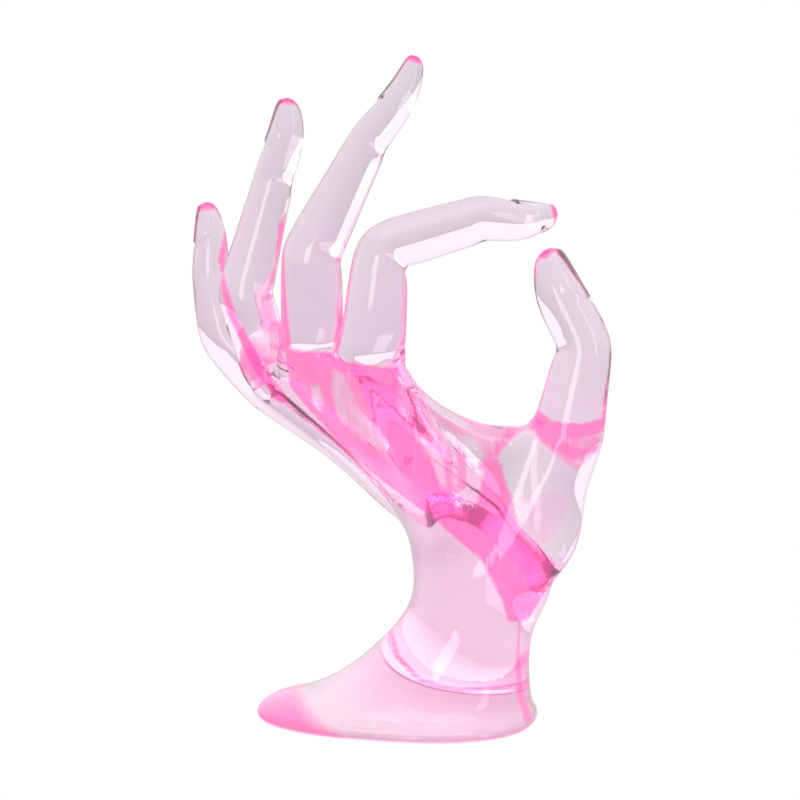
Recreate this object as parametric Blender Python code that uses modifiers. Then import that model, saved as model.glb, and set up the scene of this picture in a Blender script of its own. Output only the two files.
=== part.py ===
"""Hand-shaped jewelry stand, cast in one piece from tinted clear resin.

A slim left hand rises from a flared cuff, with the forefinger and the thumb curled into a ring and the
other three fingers fanned. The whole stand is one solid, so it is modelled as one cage: a foot and wrist
of closed sections, a palm lofted from the wrist to the roots of five digits, and a tube for each digit.
Subdivision rounds the cage, and the nails and the creases of the palm are then pressed into its skin.

Sizes are in millimetres, and angles in degrees. The origin is the middle of the foot's flat underside, +Z
is up, and the ring of forefinger and thumb opens along Y.
"""

import math
from dataclasses import dataclass

import bpy
import numpy as np

MM = 0.001

# The whole stand, which the finished form is brought to
STAND_HEIGHT = 159.3
STAND_WIDTH = 99.4

# Foot: an oval sole, turned a little about the vertical
SOLE_LENGTH = 67.8
SOLE_DEPTH = 49.4
SOLE_TURN = -15.0
SOLE_SQUARENESS = 2.45
SOLE_RIM = 2.6
SOLE_ROUNDING = 0.9
SOLE_INSET = 6.0
FLAT_BELOW = 0.1

# Smoothness of the solid: rounding of the cage, and the share of its triangles that stays
CAGE_LEVEL = 3
SOLID_RATIO = 0.105

# Closed sections have this many corners, the first of them at this angle from +X
CORNERS = 28
FIRST_CORNER = 115.0

# Digit sections have eight corners, and rounding pulls them in to this share of their size
CORNER_SHARE = (4.0 + 2.0 * math.cos(math.radians(45.0))) / 6.0

# A digit's sections beside a joint, and the last two before the tip
JOINT_REACH = 0.22
BEND_REACH = 0.5
BEND_STRETCH = -0.5
PAD_PLACES = (0.77, 0.93)
PAD_SHARES = (0.0, 1.0, 0.75, 0.3)

# A digit's own skin lies within this share of its breadth from its bone's line
SKIN_SHARE = 0.8

# Nails: where they start on the last bone, how high, how steep, and how far round they reach in degrees
NAIL_START = 0.40
NAIL_HEIGHT = 0.4
NAIL_EDGE = 0.5
NAIL_GROOVE = 0.12
NAIL_HALF_ANGLE = 62.0
NAIL_SIDE = 20.0
NAIL_TIP_FADE = (0.85, 0.45)
NAIL_CURVE = 0.10

# Creases: depth and width at the digit roots, and at the joints where they come in pairs
ROOT_CREASE_DEPTH = 0.7
ROOT_CREASE_WIDTH = 0.9
JOINT_CREASE_DEPTH = 0.28
JOINT_CREASE_WIDTH = 1.0
JOINT_CREASE_PLACES = (0.7, -0.9)

# Palm
PALM_ROWS = (0.17, 0.34, 0.51, 0.68, 0.84)
WRIST_PULL = 0.7
KNUCKLE_PULL = 0.75
WEB_DIP = 2.2
THUMB_WEB = (18.6, -14.5, 73.4)
THUMB_WEB_THICKNESS = 8.0
HOLLOW_DEPTH = 5.0
THENAR_SWELL = 4.0
THUMB_HEEL_SWELL = 8.2
LITTLE_HEEL_SWELL = 5.6
HEEL_SWELL = 3.0
PALM_LEAN = -28.0


@dataclass(frozen=True)
class Section:
    """One oval section of the foot or wrist, given by its left and right ends."""

    left: tuple
    right: tuple
    depth: float
    turn: float


@dataclass(frozen=True)
class Bone:
    """One straight length of a digit: how long, and how far it leans to +X and to +Y."""

    length: float
    lean: float
    away: float


@dataclass(frozen=True)
class Digit:
    """A finger or thumb: where its web is, its bones, its hinge direction and its breadths."""

    name: str
    root: tuple
    bones: tuple
    across: tuple
    breadths: tuple
    flatness: float
    pad: tuple
    carpal_lean: float
    nail_on_side: bool = False


WRIST = (
    Section((-26.4, 4.3), (32.9, 4.4), 43.0, -12.0),
    Section((-14.6, 9.3), (32.0, 8.0), 37.0, -8.0),
    Section((-5.2, 17.4), (31.7, 13.0), 34.0, -4.0),
    Section((1.6, 24.6), (31.8, 18.0), 32.5, 0.0),
    Section((4.2, 31.5), (33.0, 23.6), 32.0, 0.0),
    Section((3.6, 38.5), (37.2, 30.5), 33.0, 0.0),
)

FINGER_HINGE = (0.413, -0.883, 0.22)

DIGITS = (
    Digit("pinky", (-29.6, 15.0, 77.2),
          (Bone(17.6, -43.2, 13.5), Bone(15.2, -12.7, 7.6), Bone(17.8, -3.9, 3.2)),
          FINGER_HINGE, (13.0, 13.6, 13.0, 11.4, 9.3, 7.6, 5.8, 3.8), 1.0, (0.0, 0.7), -50.0),
    Digit("ring", (-30.5, 5.0, 82.7),
          (Bone(20.0, -16.3, 2.9), Bone(27.5, 14.6, 4.2), Bone(20.8, 9.7, 8.5)),
          FINGER_HINGE, (13.0, 12.6, 13.4, 11.2, 9.5, 8.8, 6.8, 4.4), 1.0, (0.0, 1.5), -46.0),
    Digit("middle", (-19.8, -6.0, 90.1),
          (Bone(23.6, -0.5, -2.4), Bone(28.8, 27.3, 4.0), Bone(24.3, 29.7, 12.0)),
          FINGER_HINGE, (14.4, 14.6, 14.0, 11.7, 9.6, 8.0, 5.8, 4.0), 1.0, (0.0, 1.9), -36.0),
    Digit("forefinger", (-5.9, -17.0, 89.9),
          (Bone(26.8, 4.7, -1.1), Bone(24.5, 76.0, 15.2), Bone(19.1, 87.5, 15.3)),
          (0.3, -0.95, 0.0), (15.4, 14.4, 12.7, 11.8, 11.0, 9.4, 6.8, 4.2), 1.0, (0.0, 1.5), -26.0),
    Digit("thumb", (40.2, -8.0, 71.2),
          (Bone(20.8, 10.5, 0.0), Bone(25.6, -21.0, 6.8)),
          (0.94, -0.34, 0.0), (17.2, 15.0, 13.2, 12.0, 9.2, 6.0), 0.94, (-1.5, 0.0), 10.0, True),
)


@dataclass(frozen=True)
class Line:
    """A crease of the palm, through points of the front view."""

    points: tuple
    depth: float
    width: float


PALM_LINES = (
    Line(((26.5, 71.0), (23.0, 66.0), (24.6, 62.0), (26.7, 55.0), (29.3, 47.5), (32.6, 43.0)), 0.6, 1.3),
    Line(((1.5, 88.0), (5.5, 80.0), (11.0, 72.0), (17.0, 62.0), (23.0, 52.0)), 0.5, 1.2),
    Line(((-22.0, 88.0), (-14.0, 80.0), (-4.0, 73.0), (6.0, 64.0)), 0.5, 1.1),
)


def unit(vector):
    """The vector at length one."""
    return vector / np.linalg.norm(vector)


def heading(lean, away):
    """The direction that leans from upright towards +X, and then towards +Y."""
    lean, away = math.radians(lean), math.radians(away)
    return np.array([math.sin(lean) * math.cos(away), math.sin(away), math.cos(lean) * math.cos(away)])


def digit_joints(digit):
    """The root, the joints and the tip of a digit, in order."""
    joints = [np.array(digit.root, dtype=float)]
    for bone in digit.bones:
        joints.append(joints[-1] + bone.length * heading(bone.lean, bone.away))
    return joints


def corner_ring(centre, along, across, breadth, thickness, offset=(0.0, 0.0)):
    """Eight corners round a digit, from its palmar side nearest the little finger."""
    side = unit(across - along * np.dot(across, along))
    palmar = np.cross(along, side)
    centre = centre + side * offset[0] + palmar * offset[1]
    angles = np.radians((225.0, 270.0, 315.0, 0.0, 45.0, 90.0, 135.0, 180.0))
    half_breadth = breadth / 2.0 / CORNER_SHARE
    half_thickness = thickness / 2.0 / CORNER_SHARE
    return [centre + side * half_breadth * math.cos(angle) - palmar * half_thickness * math.sin(angle)
            for angle in angles]


def digit_rings(digit):
    """All the sections of a digit from its web to its tip, and the point of the tip."""
    joints = digit_joints(digit)
    ways = [heading(bone.lean, bone.away) for bone in digit.bones]
    across = np.array(digit.across, dtype=float)
    last = len(digit.bones) - 1
    rings = [corner_ring(joints[0], ways[0], across, digit.breadths[0], digit.breadths[0] * digit.flatness)]
    for index, bone in enumerate(digit.bones):
        start, end, way = joints[index], joints[index + 1], ways[index]
        before, middle, after = digit.breadths[2 * index:2 * index + 3]
        pads = (0.0,) * len(PAD_SHARES)
        rise = JOINT_REACH * bone.length if index == 0 else joint_reach(ways, index, before)
        places = [(rise, before + (middle - before) * 2.0 * rise / bone.length), (bone.length / 2.0, middle)]
        if index < last:
            fall = bone.length - joint_reach(ways, index + 1, after)
            share = 2.0 * (bone.length - fall) / bone.length
            places.append((fall, after + (middle - after) * share))
        else:
            near_tip, at_tip = PAD_PLACES
            places += [(near_tip * bone.length, after), (at_tip * bone.length, digit.breadths[-1])]
            pads = PAD_SHARES
        for number, (distance, breadth) in enumerate(places):
            offset = [part * pads[number] for part in digit.pad]
            rings.append(corner_ring(start + way * distance, way, across, breadth,
                                     breadth * digit.flatness, offset))
        if index < last:
            bend = math.acos(min(1.0, float(np.dot(way, ways[index + 1]))))
            stretch = math.cos(bend / 2.0) ** BEND_STRETCH
            rings.append(corner_ring(end, unit(way + ways[index + 1]), across, after,
                                     after * digit.flatness * stretch))
    tip = joints[-1]
    return rings, tip


def joint_reach(ways, index, breadth):
    """How far from a joint its neighbouring sections stand, further where it bends more."""
    bend = math.acos(min(1.0, float(np.dot(ways[index - 1], ways[index]))))
    return breadth * (JOINT_REACH + BEND_REACH * math.tan(bend / 2.0))


def oval(section_centre, reach, depth, turn, squareness=2.0):
    """Closed section in palm order: palmar side, thumb side, dorsal side, little-finger side."""
    reach = np.array(reach, dtype=float)
    turn = math.radians(turn)
    back = np.array([0.0, 1.0, 0.0])
    flat = unit(reach)
    length = float(np.linalg.norm(reach))
    corners = []
    for step in range(CORNERS):
        angle = math.radians(FIRST_CORNER - (step + 1) * 360.0 / CORNERS) - turn
        x = length * math.copysign(abs(math.cos(angle)) ** (2.0 / squareness), math.cos(angle))
        y = depth / 2.0 * math.copysign(abs(math.sin(angle)) ** (2.0 / squareness), math.sin(angle))
        corners.append(section_centre + flat * (x * math.cos(turn) - y * math.sin(turn))
                       + back * (x * math.sin(turn) + y * math.cos(turn)))
    return corners


def wrist_ring(section):
    """The corners of one section of the wrist or foot."""
    left = np.array([section.left[0], 0.0, section.left[1]])
    right = np.array([section.right[0], 0.0, section.right[1]])
    return oval((left + right) / 2.0, (right - left) / 2.0, section.depth, section.turn)


def sole_ring(height, inset):
    """A level section of the foot's rim, at a height and drawn in by an inset."""
    reach = (SOLE_LENGTH / 2.0 - inset, 0.0, 0.0)
    return oval(np.array([0.0, 0.0, height]), reach, SOLE_DEPTH - 2.0 * inset, SOLE_TURN, SOLE_SQUARENESS)


class Cage:
    """A growing quad cage that knows its corners by number."""

    def __init__(self):
        """Start with no corners and no faces."""
        self.points = []
        self.faces = []

    def add(self, points):
        """Add corners and return their numbers."""
        start = len(self.points)
        self.points.extend(np.array(point, dtype=float) for point in points)
        return list(range(start, len(self.points)))

    def bridge(self, lower, upper):
        """Join two closed sections of the same count with quads."""
        count = len(lower)
        for i in range(count):
            j = (i + 1) % count
            self.faces.append((lower[j], lower[i], upper[i], upper[j]))

    def cap_digit(self, ring, tip):
        """Close a digit's last section with four quads round its tip."""
        centre = self.add([tip])[0]
        for i in (0, 2, 4, 6):
            self.faces.append((ring[(i + 2) % 8], ring[(i + 1) % 8], ring[i], centre))


def palm_edge(rings):
    """Places of the palm's upper edge: palmar row, dorsal row, web row and the two sides."""
    palmar = [None] * 13
    dorsal = [None] * 13
    web = {}
    for finger in range(4):
        ring = rings[finger]
        palmar[2 * finger + 1], dorsal[2 * finger + 1] = ring[1], ring[5]
    palmar[0], dorsal[0], little_side = rings[0][0], rings[0][6], rings[0][7]
    down = np.array([0.0, 0.0, -WEB_DIP])
    for finger in range(3):
        near, far = rings[finger + 1], rings[finger]
        column = 2 * finger + 2
        palmar[column] = (far[2] + near[0]) / 2.0 + down / 2.0
        dorsal[column] = (far[4] + near[6]) / 2.0 + down / 2.0
        web[column] = (far[3] + near[7]) / 2.0 + down
    fore, thumb = rings[3], rings[4]
    palmar[8], web[8], dorsal[8] = fore[2], fore[3], fore[4]
    palmar[10], palmar[11], palmar[12] = thumb[0], thumb[1], thumb[2]
    dorsal[10], dorsal[11], dorsal[12] = thumb[6], thumb[5], thumb[4]
    web[10], thumb_side = thumb[7], thumb[3]
    middle = np.array(THUMB_WEB)
    away = unit(np.cross(np.array([0.0, 0.0, 1.0]), thumb[7] - fore[3]))
    half = away * THUMB_WEB_THICKNESS / 2.0
    web[9] = middle
    palmar[9] = middle + half + down
    dorsal[9] = middle - half + down
    return palmar, dorsal, web, little_side, thumb_side


@dataclass(frozen=True)
class Bump:
    """A swelling of the palm: its height, its place by row and corner, and its size in both."""

    height: float
    row: float
    row_width: float
    corner: float
    corner_width: float

    def at(self, row, corner):
        """Its height at a row and a corner."""
        turn = min(abs(corner - self.corner), CORNERS - abs(corner - self.corner))
        away = ((row - self.row) / self.row_width) ** 2 + (turn / self.corner_width) ** 2
        return self.height * math.exp(-away)


PALM_BUMPS = (Bump(THENAR_SWELL, 0.45, 0.3, 10.5, 1.6), Bump(HEEL_SWELL, 0.35, 0.3, 1.0, 1.6),
              Bump(-HOLLOW_DEPTH, 0.62, 0.3, 6.5, 2.6))
THUMB_HEEL = Bump(THUMB_HEEL_SWELL, 0.27, 0.28, 13.0, 2.2)
LITTLE_HEEL = Bump(LITTLE_HEEL_SWELL, 0.34, 0.22, 27.0, 3.2)
LITTLE_HEEL_WAY = (-0.7, 0.0, -0.7)


def build_cage():
    """The whole hand as one closed cage of quads, in millimetres."""
    cage = Cage()
    sole = [sole_ring(0.0, SOLE_INSET), sole_ring(0.0, SOLE_ROUNDING), sole_ring(SOLE_ROUNDING, 0.0),
            sole_ring(SOLE_RIM, 0.0)]
    numbered = [cage.add(ring) for ring in sole]
    numbered += [cage.add(wrist_ring(section)) for section in WRIST]
    for lower, upper in zip(numbered, numbered[1:]):
        cage.bridge(lower, upper)
    close_sole(cage, numbered[0])

    rings, tips = [], []
    for digit in DIGITS:
        digit_sections, tip = digit_rings(digit)
        rings.append(digit_sections)
        tips.append(tip)
    palmar, dorsal, web, little_side, thumb_side = palm_edge([ring[0] for ring in rings])
    top = palmar + [thumb_side] + dorsal[::-1] + [little_side]
    leans = edge_leans()
    wrist = [cage.points[i] for i in numbered[-1]]
    axis = wrist_axis()
    previous = numbered[-1]
    for row in PALM_ROWS:
        previous = add_row(cage, previous, palm_row(row, wrist, top, axis, leans))
    top_numbers = add_row(cage, previous, top)
    add_digits(cage, top_numbers, web, rings, tips)
    return cage


def add_row(cage, previous, places):
    """Add a palm section above the previous one."""
    numbers = cage.add(places)
    cage.bridge(previous, numbers)
    return numbers


def wrist_axis():
    """The direction in which the wrist's last section hands over to the palm."""
    last = WRIST[-1]
    return unit(np.array([last.left[1] - last.right[1], 0.0, last.right[0] - last.left[0]]))


def edge_leans():
    """The lean of the hand bones under each corner of the palm's upper edge."""
    lean = {}
    for finger, digit in enumerate(DIGITS[:4]):
        lean[2 * finger + 1] = digit.carpal_lean
    lean[0] = DIGITS[0].carpal_lean
    for column in (2, 4, 6):
        lean[column] = (lean[column - 1] + lean[column + 1]) / 2.0
    lean[8] = DIGITS[3].carpal_lean
    lean[10] = lean[11] = lean[12] = DIGITS[4].carpal_lean
    lean[9] = (lean[8] + lean[10]) / 2.0
    row = [lean[column] for column in range(13)]
    return row + [lean[12]] + row[::-1] + [lean[0]]


def palm_row(row, wrist, top, axis, leans):
    """One section of the palm, on curves that leave the wrist's axis for the hand bones."""
    places = []
    for number, (low, high, lean) in enumerate(zip(wrist, top, leans)):
        span = float(np.linalg.norm(high - low))
        start, end = axis * span * WRIST_PULL, heading(lean, 0.0) * span * KNUCKLE_PULL
        r2, r3 = row * row, row ** 3
        place = ((2 * r3 - 3 * r2 + 1) * low + (r3 - 2 * r2 + row) * start
                 + (3 * r2 - 2 * r3) * high + (r3 - r2) * end)
        if number < THUMB_HEEL.corner:
            place = place + palm_normal() * sum(bump.at(row, number) for bump in PALM_BUMPS)
        place = place + np.array([THUMB_HEEL.at(row, number), 0.0, 0.0])
        places.append(place + np.array(LITTLE_HEEL_WAY) * LITTLE_HEEL.at(row, number))
    return places


def palm_normal():
    """The way the palm faces."""
    return unit(np.cross(heading(PALM_LEAN, 0.0), np.array(FINGER_HINGE)))


def close_sole(cage, ring):
    """Close the foot's underside with a flat grid of quads."""
    count = len(ring)
    half = count // 2
    for i in range(half - 1):
        cage.faces.append((ring[i], ring[i + 1], ring[count - 2 - i], ring[count - 1 - i]))


def add_digits(cage, top, web, rings, tips):
    """Grow the five digits and the thumb's web from the palm's upper edge."""
    palmar, thumb_side = top[:13], top[13]
    dorsal, little_side = top[14:27][::-1], top[27]
    web_numbers = {column: cage.add([place])[0] for column, place in web.items()}
    bases = []
    for finger in range(4):
        low, high = 2 * finger, 2 * finger + 2
        near = web_numbers[high]
        far = little_side if finger == 0 else web_numbers[low]
        bases.append([palmar[low], palmar[low + 1], palmar[high], near,
                      dorsal[high], dorsal[low + 1], dorsal[low], far])
    bases.append([palmar[10], palmar[11], palmar[12], thumb_side,
                  dorsal[12], dorsal[11], dorsal[10], web_numbers[10]])
    for base, digit, tip in zip(bases, rings, tips):
        previous = base
        for ring in digit[1:]:
            previous = add_row(cage, previous, ring)
        cage.cap_digit(previous, tip)
    for column in (8, 9):
        cage.faces.append((palmar[column + 1], palmar[column], web_numbers[column], web_numbers[column + 1]))
        cage.faces.append((web_numbers[column + 1], web_numbers[column], dorsal[column], dorsal[column + 1]))


def smooth(low, high, values):
    """A soft step from 0 at low to 1 at high."""
    share = np.clip((values - low) / (high - low), 0.0, 1.0)
    return share * share * (3.0 - 2.0 * share)


def lengthwise(places, start, way):
    """How far each place lies along a line and how far out from it, with its offset from the start."""
    offset = places - start
    along = offset @ way
    return along, np.linalg.norm(offset - np.outer(along, way), axis=1), offset


def nail_rise(places, normals):
    """How far each place rises for the nails, which blend into the tip where the skin faces ahead."""
    rise = np.zeros(len(places))
    for digit in DIGITS:
        bone = digit.bones[-1]
        way = heading(bone.lean, bone.away)
        across = np.array(digit.across, dtype=float)
        side = unit(across - way * np.dot(across, way))
        back = side if digit.nail_on_side else -np.cross(way, side)
        along, out, offset = lengthwise(places, digit_joints(digit)[-2], way)
        angle = np.degrees(np.arctan2(np.abs(offset @ np.cross(way, back)), offset @ back))
        cuticle = bone.length * (NAIL_START + NAIL_CURVE * (angle / NAIL_HALF_ANGLE) ** 2)
        plate = smooth(cuticle, cuticle + NAIL_EDGE, along)
        plate = plate * smooth(NAIL_HALF_ANGLE + NAIL_SIDE, NAIL_HALF_ANGLE, angle)
        plate = plate * smooth(*NAIL_TIP_FADE, normals @ way)
        groove = np.exp(-((along - cuticle + NAIL_EDGE) / NAIL_EDGE) ** 2) * (angle < NAIL_HALF_ANGLE)
        near = (out < SKIN_SHARE * digit.breadths[-4]) & (along > 0.0)
        rise += near * (NAIL_HEIGHT * plate - NAIL_GROOVE * groove)
    return rise


def joint_crease_depth(places, normals):
    """How deep each place lies in the creases across the digits' palmar sides."""
    depth = np.zeros(len(places))
    for digit in DIGITS:
        joints = digit_joints(digit)
        ways = [heading(bone.lean, bone.away) for bone in digit.bones]
        for number, joint in enumerate(joints[:-1]):
            way = ways[0] if number == 0 else unit(ways[number - 1] + ways[number])
            across = np.array(digit.across, dtype=float)
            side = unit(across - way * np.dot(across, way))
            palmar = -side if digit.nail_on_side else np.cross(way, side)
            along, out, _ = lengthwise(places, joint, way)
            if number == 0:
                line = ROOT_CREASE_DEPTH * np.exp(-(along / ROOT_CREASE_WIDTH) ** 2)
            else:
                line = sum(JOINT_CREASE_DEPTH * np.exp(-((along - place) / JOINT_CREASE_WIDTH) ** 2)
                           for place in JOINT_CREASE_PLACES)
            near = out < SKIN_SHARE * digit.breadths[2 * number]
            depth = np.maximum(depth, line * near * smooth(-0.1, 0.5, normals @ palmar))
    return depth


def palm_line_depth(places, normals):
    """How deep each place lies in the creases of the palm."""
    facing = smooth(0.1, 0.5, normals @ palm_normal())
    depth = np.zeros(len(places))
    for line in PALM_LINES:
        nodes = np.array(line.points)
        reach = np.full(len(places), np.inf)
        along = np.zeros(len(places))
        for index, (start, end) in enumerate(zip(nodes, nodes[1:])):
            step = end - start
            share = np.clip((places[:, [0, 2]] - start) @ step / float(step @ step), 0.0, 1.0)
            distance = np.linalg.norm(places[:, [0, 2]] - start - share[:, None] * step, axis=1)
            along = np.where(distance < reach, (index + share) / (len(nodes) - 1), along)
            reach = np.minimum(reach, distance)
        fade = smooth(0.0, 0.12, along) * smooth(1.0, 0.85, along)
        depth = np.maximum(depth, line.depth * np.exp(-(reach / line.width) ** 2) * facing * fade)
    return depth


def growth(places):
    """How much the form is stretched along X, Y and Z, so that the stand has its named width and height."""
    wide = STAND_WIDTH / float(np.ptp(places[:, 0]))
    high = STAND_HEIGHT / float(np.ptp(places[:, 2]))
    return np.array([wide, math.sqrt(wide * high), high])


def press_details(mesh):
    """Raise the nails, press the creases in and lay the underside exactly on the ground."""
    count = len(mesh.vertices)
    places = np.empty(count * 3)
    normals = np.empty(count * 3)
    mesh.vertices.foreach_get("co", places)
    mesh.vertices.foreach_get("normal", normals)
    places, normals = places.reshape(-1, 3) / MM, normals.reshape(-1, 3)
    rise = nail_rise(places, normals) - joint_crease_depth(places, normals) - palm_line_depth(places, normals)
    places = places + normals * rise[:, None]
    places[:, 2] = np.where(places[:, 2] < FLAT_BELOW, 0.0, places[:, 2])
    mesh.vertices.foreach_set("co", (places * growth(places) * MM).ravel())
    mesh.update()


def cage_object(name, collection):
    """The cage as an object with its rounding, kept as a guide."""
    cage = build_cage()
    mesh = bpy.data.meshes.new(name)
    mesh.from_pydata([tuple(point * MM) for point in cage.points], [], cage.faces)
    mesh.update()
    obj = bpy.data.objects.new(name, mesh)
    collection.objects.link(obj)
    rounding = obj.modifiers.new("rounding", "SUBSURF")
    rounding.levels = CAGE_LEVEL
    rounding.render_levels = CAGE_LEVEL
    obj.hide_render = True
    obj.display_type = "WIRE"
    return obj


def resin():
    """Glossy pink-tinted clear resin."""
    material = bpy.data.materials.new("pink_clear_resin")
    material.use_nodes = True
    shader = material.node_tree.nodes["Principled BSDF"]
    shader.inputs["Base Color"].default_value = (0.93, 0.62, 0.80, 1.0)
    shader.inputs["Roughness"].default_value = 0.04
    shader.inputs["Metallic"].default_value = 0.0
    shader.inputs["IOR"].default_value = 1.5
    shader.inputs["Transmission Weight"].default_value = 0.9
    return material


def clear_scene():
    """Remove what the scene starts with."""
    for obj in list(bpy.data.objects):
        bpy.data.objects.remove(obj)


def main():
    """Build the stand as one object."""
    clear_scene()
    guides = bpy.data.collections.new("guides")
    stand = bpy.data.collections.new("hand_jewelry_stand")
    bpy.context.scene.collection.children.link(guides)
    bpy.context.scene.collection.children.link(stand)
    cage = cage_object("hand_cage", guides)
    bpy.context.view_layer.update()
    depsgraph = bpy.context.evaluated_depsgraph_get()
    mesh = bpy.data.meshes.new_from_object(cage.evaluated_get(depsgraph))
    mesh.name = "hand_stand"
    press_details(mesh)
    obj = bpy.data.objects.new("hand_stand", mesh)
    stand.objects.link(obj)
    obj.data.materials.clear()
    obj.data.materials.append(resin())
    mesh.shade_smooth()
    thinning = obj.modifiers.new("thinning", "DECIMATE")
    thinning.ratio = SOLID_RATIO


main()
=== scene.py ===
"""Hand-shaped jewelry stand in clear pink-tinted resin, standing in a pale studio.

The stand is one casting: a slim left hand on a flared foot, with thumb and forefinger curled into a
circle. HandForm holds its sizes and lays out a coarse cage of quads. HandSkin rounds the cage, presses
the nails and creases into it and notes where the tint and its painted glow gather. TintedResin dresses
it, and Studio lights and frames it.

Sizes of the hand are in millimetres, angles in degrees, and everything else is in metres.
"""

from __future__ import annotations

import logging
import math
from dataclasses import dataclass, field
from enum import Enum
from typing import ClassVar

import bpy
import numpy as np
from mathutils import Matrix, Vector


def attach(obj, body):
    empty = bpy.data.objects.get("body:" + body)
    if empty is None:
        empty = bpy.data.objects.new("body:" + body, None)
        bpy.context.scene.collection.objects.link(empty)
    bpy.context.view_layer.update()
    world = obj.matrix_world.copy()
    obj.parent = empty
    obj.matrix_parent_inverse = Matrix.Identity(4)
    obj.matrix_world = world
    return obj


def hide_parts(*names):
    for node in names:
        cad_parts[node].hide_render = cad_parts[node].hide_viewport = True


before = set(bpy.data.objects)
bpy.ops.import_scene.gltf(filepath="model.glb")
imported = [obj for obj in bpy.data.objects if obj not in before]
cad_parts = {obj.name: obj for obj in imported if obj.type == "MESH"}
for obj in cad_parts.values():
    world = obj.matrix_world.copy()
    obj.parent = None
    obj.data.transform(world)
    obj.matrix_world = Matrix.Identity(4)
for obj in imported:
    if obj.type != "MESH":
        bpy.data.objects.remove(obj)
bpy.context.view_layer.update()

FlatLine = tuple[tuple[float, float], ...]
Colour = tuple[float, float, float]
Socket = bpy.types.NodeSocket

MM = 0.001
WHITE = (1.0, 1.0, 1.0, 1.0)
BLACK = (0.0, 0.0, 0.0, 1.0)
FLOW_TURN = 42.0
FLOW_STRETCH = (2.2, 1.0, 0.35)
LOG = logging.getLogger("hand_stand")


def unit(vector: np.ndarray) -> np.ndarray:
    """The vector at length one."""
    return vector / np.linalg.norm(vector)


def heading(lean: float, away: float = 0.0) -> np.ndarray:
    """A direction given by how it leaves the upright.

    Args:
        lean: Degrees from upright towards +X.
        away: Degrees from there towards +Y.

    Returns:
        The direction at length one.
    """
    lean, away = math.radians(lean), math.radians(away)
    level = math.cos(away)
    return np.array([math.sin(lean) * level, math.sin(away), math.cos(lean) * level])


def smooth(low: float, high: float, value: np.ndarray) -> np.ndarray:
    """A soft step from 0 at low to 1 at high."""
    share = np.clip((value - low) / (high - low), 0.0, 1.0)
    return share * share * (3.0 - 2.0 * share)


def along_and_off(offset: np.ndarray, way: np.ndarray) -> tuple[np.ndarray, np.ndarray]:
    """How far each offset reaches along an axis, and how far it stands off the axis."""
    along = offset @ way
    return along, np.linalg.norm(offset - np.outer(along, way), axis=1)


@dataclass(frozen=True)
class Section:
    """One oval section of the foot or wrist, given by its left and right ends."""

    left: tuple[float, float]
    right: tuple[float, float]
    depth: float
    turn: float


@dataclass(frozen=True)
class Bone:
    """One straight length of a digit: how long, and how far it leans to +X and to +Y."""

    length: float
    lean: float
    away: float

    def way(self) -> np.ndarray:
        """The direction of the bone."""
        return heading(self.lean, self.away)


class NailSide(Enum):
    """Which side of a digit its nail lies on."""

    BACK = "back"
    THUMB_SIDE = "thumb side"


@dataclass(frozen=True)
class Digit:
    """A finger or thumb."""

    name: str
    root: tuple[float, float, float]
    bones: tuple[Bone, ...]
    across: tuple[float, float, float]
    breadths: tuple[float, ...]
    flatness: float
    pad: tuple[float, float]
    carpal_lean: float
    nail: NailSide = NailSide.BACK

    def joints(self) -> list[np.ndarray]:
        """The root, the joints and the tip, in order."""
        places = [np.array(self.root, dtype=float)]
        for bone in self.bones:
            places.append(places[-1] + bone.length * bone.way())
        return places

    def axes(self, way: np.ndarray) -> tuple[np.ndarray, np.ndarray]:
        """The sideways and the palmar direction of a section across the given way."""
        across = np.array(self.across, dtype=float)
        side = unit(across - way * np.dot(across, way))
        return side, np.cross(way, side)

    def nail_way(self, way: np.ndarray) -> np.ndarray:
        """The direction in which the nail faces."""
        side, palmar = self.axes(way)
        return side if self.nail is NailSide.THUMB_SIDE else -palmar


@dataclass(frozen=True)
class Ring:
    """Shape of one eight-cornered section of a digit: its breadth, its thickness and its shift."""

    breadth: float
    thickness: float
    shift: tuple[float, float] = (0.0, 0.0)


@dataclass(frozen=True)
class Swell:
    """A soft hill or hollow of the palm, by row from the wrist and by corner round the section."""

    height: float
    row: float
    corner: float
    row_width: float
    corner_width: float

    def share(self, row: float, away: float) -> float:
        """The part of its height that it reaches, by row and by how many corners away from its own."""
        return math.exp(-((row - self.row) / self.row_width) ** 2 - (away / self.corner_width) ** 2)


@dataclass
class Cage:
    """A growing quad cage that knows its corners by number."""

    points: list[np.ndarray] = field(default_factory=list)
    faces: list[tuple[int, ...]] = field(default_factory=list)

    def add(self, points: list[np.ndarray]) -> list[int]:
        """Add corners.

        Args:
            points: The places of the new corners.

        Returns:
            The numbers of the new corners.
        """
        start = len(self.points)
        self.points.extend(np.array(point, dtype=float) for point in points)
        return list(range(start, len(self.points)))

    def bridge(self, lower: list[int], upper: list[int]) -> None:
        """Join two closed sections of the same count with quads.

        Args:
            lower: The corners of the section nearer the foot.
            upper: The corners of the section nearer the tip.
        """
        count = len(lower)
        for i in range(count):
            j = (i + 1) % count
            self.faces.append((lower[j], lower[i], upper[i], upper[j]))

    def row(self, previous: list[int], places: list[np.ndarray]) -> list[int]:
        """Add a section and join it to the one below.

        Args:
            previous: The corners of the section below.
            places: The places of the new corners.

        Returns:
            The numbers of the new corners.
        """
        numbers = self.add(places)
        self.bridge(previous, numbers)
        return numbers

    def cap_digit(self, ring: list[int], tip: np.ndarray) -> None:
        """Close a digit's last section with four quads round its tip.

        Args:
            ring: The eight corners of the last section.
            tip: The place of the tip.
        """
        centre = self.add([tip])[0]
        for i in (0, 2, 4, 6):
            self.faces.append((ring[(i + 2) % 8], ring[(i + 1) % 8], ring[i], centre))

    def close_sole(self, ring: list[int]) -> None:
        """Close the foot's underside with a flat row of quads across its first section."""
        count = len(ring)
        for i in range(count // 2 - 1):
            self.faces.append((ring[i], ring[i + 1], ring[count - 2 - i], ring[count - 1 - i]))


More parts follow.
